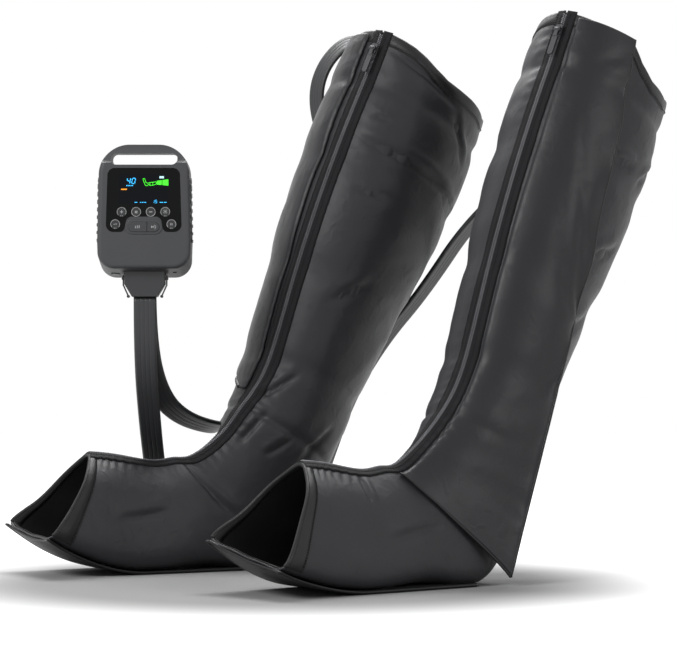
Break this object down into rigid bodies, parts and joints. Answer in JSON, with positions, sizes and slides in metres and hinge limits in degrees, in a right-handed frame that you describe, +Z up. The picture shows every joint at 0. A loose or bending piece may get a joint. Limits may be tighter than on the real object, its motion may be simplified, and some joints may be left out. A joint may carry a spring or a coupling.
{
  "type": "compression therapy pump",
  "caption": "Hand-held air compression pump with a handle, display and keys, joined by flat hoses to two zipped full-leg sleeves that stand on their soles.",
  "frame": {"origin": "floor level under the middle of the pump and the two sleeves, without the hoses", "axes": "+Z up, the pump's face looks along -Y, the sleeves' toes point towards -X and -Y"},
  "size_m": [0.9985, 0.8624, 0.8562],
  "materials": {
    "cover_fabric": "coated, slight sheen",
    "sole_fabric": "matte",
    "chamber_film": "coated film, matte",
    "lining_fabric": "matte",
    "zip_tape": "matte",
    "zip_teeth": "satin",
    "zip_metal": "satin",
    "housing": "fine texture",
    "grip_rubber": "matte",
    "panel_black": "gloss",
    "screen": "gloss",
    "keys": "satin",
    "pill_keys": "satin",
    "board": "satin",
    "battery": "satin",
    "pump_metal": "satin",
    "steel": "brushed",
    "valve_plastic": "satin",
    "connector_plastic": "satin",
    "hose_rubber": "satin"
  },
  "bodies": {
    "sleeve_set": {"hose_front": "hose_rubber", "hose_keeper": "cover_fabric", "hose_plug": "connector_plastic", "hose_rear": "hose_rubber", "inlet_left": "connector_plastic", "inlet_right": "connector_plastic", "left_chamber_calf": "chamber_film", "left_chamber_foot": "chamber_film", "left_chamber_knee": "chamber_film", "left_chamber_thigh": "chamber_film", "left_cover_foot": "cover_fabric", "left_cover_leg": "cover_fabric", "left_flap": "cover_fabric", "left_lining": "lining_fabric", "left_sole": "sole_fabric", "left_zip_tape": "zip_tape", "left_zip_teeth": "zip_teeth", "right_chamber_calf": "chamber_film", "right_chamber_foot": "chamber_film", "right_chamber_knee": "chamber_film", "right_chamber_thigh": "chamber_film", "right_cover_foot": "cover_fabric", "right_cover_leg": "cover_fabric", "right_flap": "cover_fabric", "right_lining": "lining_fabric", "right_sole": "sole_fabric", "right_zip_tape": "zip_tape", "right_zip_teeth": "zip_teeth"},
    "pump_case": {"front_housing": "housing", "rear_housing": "housing", "grip_left": "grip_rubber", "grip_right": "grip_rubber", "display_panel": "panel_black", "screen": "screen", "main_board": "board", "battery_pack": "battery", "air_pump": "pump_metal", "valve_manifold": "valve_plastic", "hose_socket": "connector_plastic", "dc_jack": "connector_plastic"},
    "key_1": {"key_1": "keys"},
    "key_2": {"key_2": "keys"},
    "key_3": {"key_3": "keys"},
    "key_4": {"key_4": "keys"},
    "key_5": {"key_5": "keys"},
    "key_6": {"key_6": "keys"},
    "pill_key_left": {"pill_key_left": "pill_keys"},
    "pill_key_right": {"pill_key_right": "pill_keys"},
    "power_button": {"power_button": "connector_plastic"},
    "pump_crank": {"pump_crank": "steel"},
    "valve_plunger_1": {"valve_plunger_1": "steel"},
    "valve_plunger_2": {"valve_plunger_2": "steel"},
    "valve_plunger_3": {"valve_plunger_3": "steel"},
    "valve_plunger_4": {"valve_plunger_4": "steel"},
    "latch_left": {"latch_left": "connector_plastic"},
    "latch_right": {"latch_right": "connector_plastic"},
    "left_zip_slider": {"left_zip_slider": "zip_metal"},
    "right_zip_slider": {"right_zip_slider": "zip_metal"},
    "left_zip_pull": {"left_zip_pull": "zip_metal"},
    "right_zip_pull": {"right_zip_pull": "zip_metal"}
  },
  "joints": [
    {"name": "pump_unplug", "type": "slide", "parent": "sleeve_set", "child": "pump_case", "axis": [0, 0, 1], "range_m": [0, 0.022]},
    {"name": "key_1_press", "type": "slide", "parent": "pump_case", "child": "key_1", "axis": [0, 1, 0], "range_m": [0, 0.0006], "stiffness_N_per_m": 400},
    {"name": "key_2_press", "type": "slide", "parent": "pump_case", "child": "key_2", "axis": [0, 1, 0], "range_m": [0, 0.0006], "stiffness_N_per_m": 400},
    {"name": "key_3_press", "type": "slide", "parent": "pump_case", "child": "key_3", "axis": [0, 1, 0], "range_m": [0, 0.0006], "stiffness_N_per_m": 400},
    {"name": "key_4_press", "type": "slide", "parent": "pump_case", "child": "key_4", "axis": [0, 1, 0], "range_m": [0, 0.0006], "stiffness_N_per_m": 400},
    {"name": "key_5_press", "type": "slide", "parent": "pump_case", "child": "key_5", "axis": [0, 1, 0], "range_m": [0, 0.0006], "stiffness_N_per_m": 400},
    {"name": "key_6_press", "type": "slide", "parent": "pump_case", "child": "key_6", "axis": [0, 1, 0], "range_m": [0, 0.0006], "stiffness_N_per_m": 400},
    {"name": "pill_key_left_press", "type": "slide", "parent": "pump_case", "child": "pill_key_left", "axis": [0, 1, 0], "range_m": [0, 0.0006], "stiffness_N_per_m": 400},
    {"name": "pill_key_right_press", "type": "slide", "parent": "pump_case", "child": "pill_key_right", "axis": [0, 1, 0], "range_m": [0, 0.0006], "stiffness_N_per_m": 400},
    {"name": "power_button_press", "type": "slide", "parent": "pump_case", "child": "power_button", "axis": [0, 0, 1], "range_m": [0, 0.0012], "stiffness_N_per_m": 400},
    {"name": "crank_turn", "type": "hinge", "parent": "pump_case", "child": "pump_crank", "pos_m": [-0.292, 0.033, 0.529], "axis": [1, 0, 0], "continuous": true},
    {"name": "valve_1_lift", "type": "slide", "parent": "pump_case", "child": "valve_plunger_1", "axis": [0, 0, 1], "range_m": [0, 0.0015], "stiffness_N_per_m": 300},
    {"name": "valve_2_lift", "type": "slide", "parent": "pump_case", "child": "valve_plunger_2", "axis": [0, 0, 1], "range_m": [0, 0.0015], "stiffness_N_per_m": 300},
    {"name": "valve_3_lift", "type": "slide", "parent": "pump_case", "child": "valve_plunger_3", "axis": [0, 0, 1], "range_m": [0, 0.0015], "stiffness_N_per_m": 300},
    {"name": "valve_4_lift", "type": "slide", "parent": "pump_case", "child": "valve_plunger_4", "axis": [0, 0, 1], "range_m": [0, 0.0015], "stiffness_N_per_m": 300},
    {"name": "latch_left_squeeze", "type": "hinge", "parent": "sleeve_set", "child": "latch_left", "pos_m": [-0.3248, 0.027, 0.444], "axis": [0, -1, 0], "range_deg": [0, 4], "stiffness_Nm_per_rad": 0.05},
    {"name": "latch_right_squeeze", "type": "hinge", "parent": "sleeve_set", "child": "latch_right", "pos_m": [-0.2592, 0.027, 0.444], "axis": [0, 1, 0], "range_deg": [0, 4], "stiffness_Nm_per_rad": 0.05},
    {"name": "left_zip_slide", "type": "slide", "parent": "sleeve_set", "child": "left_zip_slider", "axis": [-0.346, -0.1933, -0.9181], "range_m": [0, 0.1]},
    {"name": "left_zip_pull_lift", "type": "hinge", "parent": "left_zip_slider", "child": "left_zip_pull", "pos_m": [0.05329, 0.18338, 0.81137], "axis": [-0.8147, 0.5472, 0.1919], "range_deg": [0, 140]},
    {"name": "right_zip_slide", "type": "slide", "parent": "sleeve_set", "child": "right_zip_slider", "axis": [-0.31, -0.2471, -0.9181], "range_m": [0, 0.1]},
    {"name": "right_zip_pull_lift", "type": "hinge", "parent": "right_zip_slider", "child": "right_zip_pull", "pos_m": [0.32339, -0.05775, 0.81151], "axis": [-0.7833, 0.6136, 0.0994], "range_deg": [0, 140]}
  ]
}
